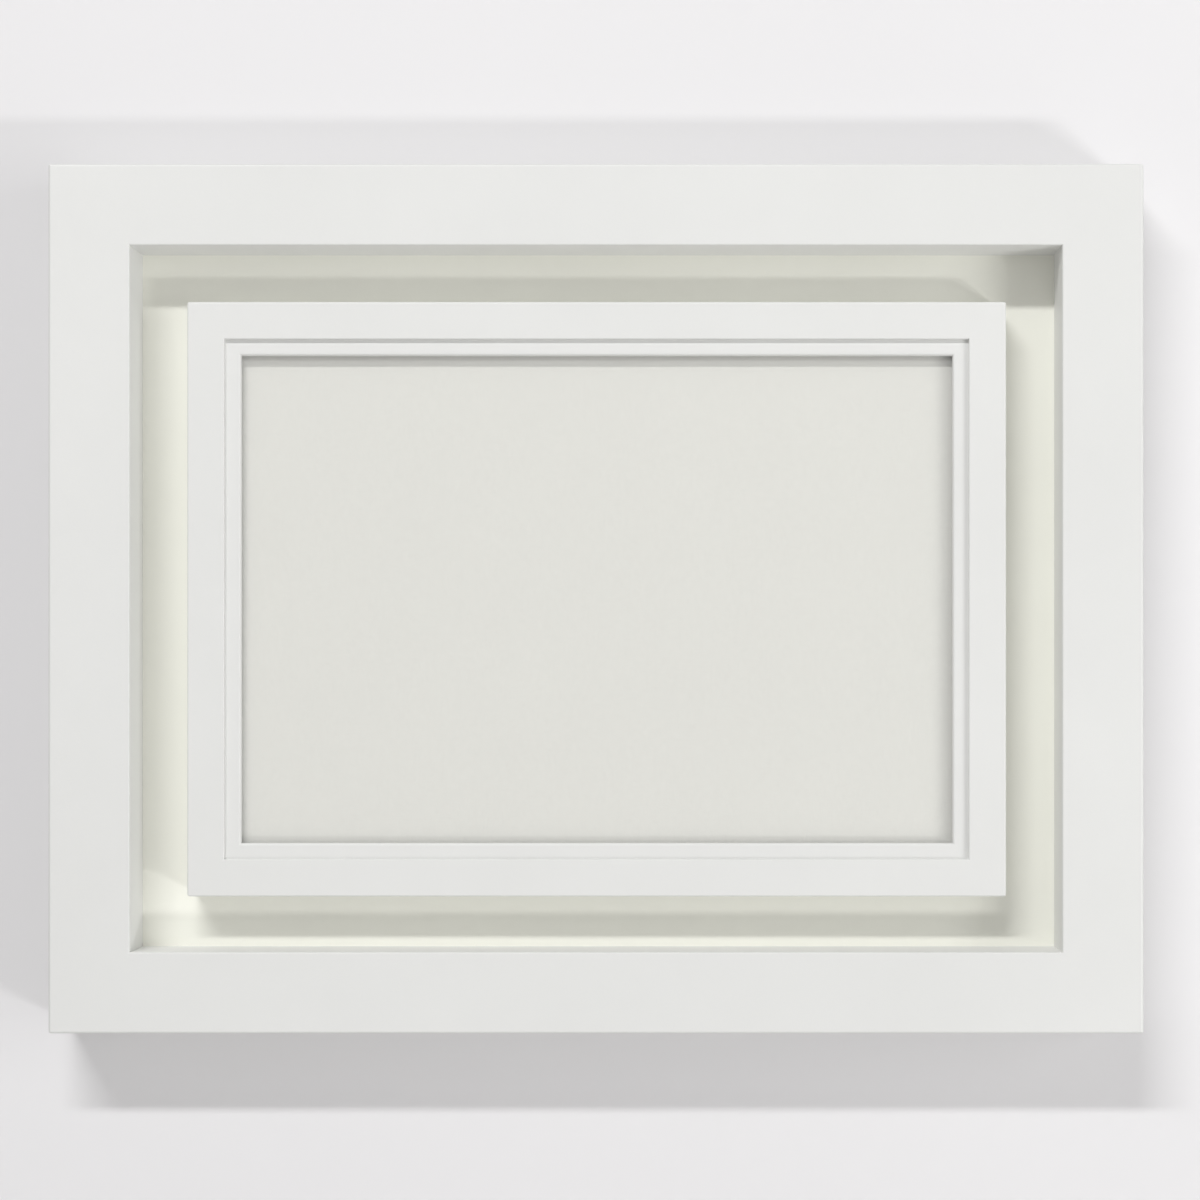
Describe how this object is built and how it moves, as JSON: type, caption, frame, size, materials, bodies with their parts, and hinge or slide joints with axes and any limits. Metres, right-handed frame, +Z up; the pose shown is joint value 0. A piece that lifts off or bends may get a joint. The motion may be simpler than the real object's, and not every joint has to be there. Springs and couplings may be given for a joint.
{
  "type": "shadow box",
  "caption": "Open-fronted white landscape box frame with a smaller stepped picture frame floating inside it on a cream back panel, with hanging hardware behind.",
  "frame": {"origin": "middle of the width, underside of the bottom rail, halfway between the front face and the back of the wall bumpers", "axes": "+X right along the longest side, +Y from the front face to the wall, +Z up"},
  "size_m": [0.37, 0.029, 0.2938],
  "materials": {
    "white_painted_wood": "sprayed white paint, satin",
    "cream_panel": "cream-white painted board, matt",
    "display_board": "pale warm grey art board, matt",
    "clear_glass": "clear float glass",
    "brown_hardboard": "bare hardboard",
    "zinc_steel": "bright zinc plate",
    "bumper_rubber": "matt"
  },
  "bodies": {
    "frame": {"outer_rail_top": "white_painted_wood", "outer_rail_right": "white_painted_wood", "outer_rail_bottom": "white_painted_wood", "outer_rail_left": "white_painted_wood", "outer_v_nails": "zinc_steel", "back_panel": "cream_panel", "inner_rail_top": "white_painted_wood", "inner_rail_right": "white_painted_wood", "inner_rail_bottom": "white_painted_wood", "inner_rail_left": "white_painted_wood", "inner_v_nails": "zinc_steel", "inner_glass": "clear_glass", "display_board": "display_board", "inner_backing_board": "brown_hardboard", "inner_flex_points": "zinc_steel", "inner_frame_screws": "zinc_steel", "turn_button_screws": "zinc_steel", "hanger_strap_left": "zinc_steel", "hanger_strap_right": "zinc_steel", "hanger_screws": "zinc_steel", "wall_bumpers": "bumper_rubber"},
    "turn_button_1": {"turn_button_1": "zinc_steel"},
    "turn_button_2": {"turn_button_2": "zinc_steel"},
    "turn_button_3": {"turn_button_3": "zinc_steel"},
    "turn_button_4": {"turn_button_4": "zinc_steel"},
    "turn_button_5": {"turn_button_5": "zinc_steel"},
    "turn_button_6": {"turn_button_6": "zinc_steel"},
    "d_ring_left": {"d_ring_left": "zinc_steel"},
    "d_ring_right": {"d_ring_right": "zinc_steel"}
  },
  "joints": [
    {"name": "turn_button_1_pivot", "type": "hinge", "parent": "frame", "child": "turn_button_1", "pos_m": [0.0925, 0.0102, 0.2803], "axis": [0, 1, 0], "continuous": true},
    {"name": "turn_button_2_pivot", "type": "hinge", "parent": "frame", "child": "turn_button_2", "pos_m": [-0.0925, 0.0102, 0.2803], "axis": [0, 1, 0], "continuous": true},
    {"name": "turn_button_3_pivot", "type": "hinge", "parent": "frame", "child": "turn_button_3", "pos_m": [0.1715, 0.0102, 0.1469], "axis": [0, 1, 0], "continuous": true},
    {"name": "turn_button_4_pivot", "type": "hinge", "parent": "frame", "child": "turn_button_4", "pos_m": [0.0925, 0.0102, 0.0135], "axis": [0, 1, 0], "continuous": true},
    {"name": "turn_button_5_pivot", "type": "hinge", "parent": "frame", "child": "turn_button_5", "pos_m": [-0.0925, 0.0102, 0.0135], "axis": [0, 1, 0], "continuous": true},
    {"name": "turn_button_6_pivot", "type": "hinge", "parent": "frame", "child": "turn_button_6", "pos_m": [-0.1715, 0.0102, 0.1469], "axis": [0, 1, 0], "continuous": true},
    {"name": "d_ring_left_swing", "type": "hinge", "parent": "frame", "child": "d_ring_left", "pos_m": [-0.17525, 0.01168, 0.2019], "axis": [1, 0, 0], "range_deg": [0, 175]},
    {"name": "d_ring_right_swing", "type": "hinge", "parent": "frame", "child": "d_ring_right", "pos_m": [0.17525, 0.01168, 0.2019], "axis": [1, 0, 0], "range_deg": [0, 175]}
  ]
}
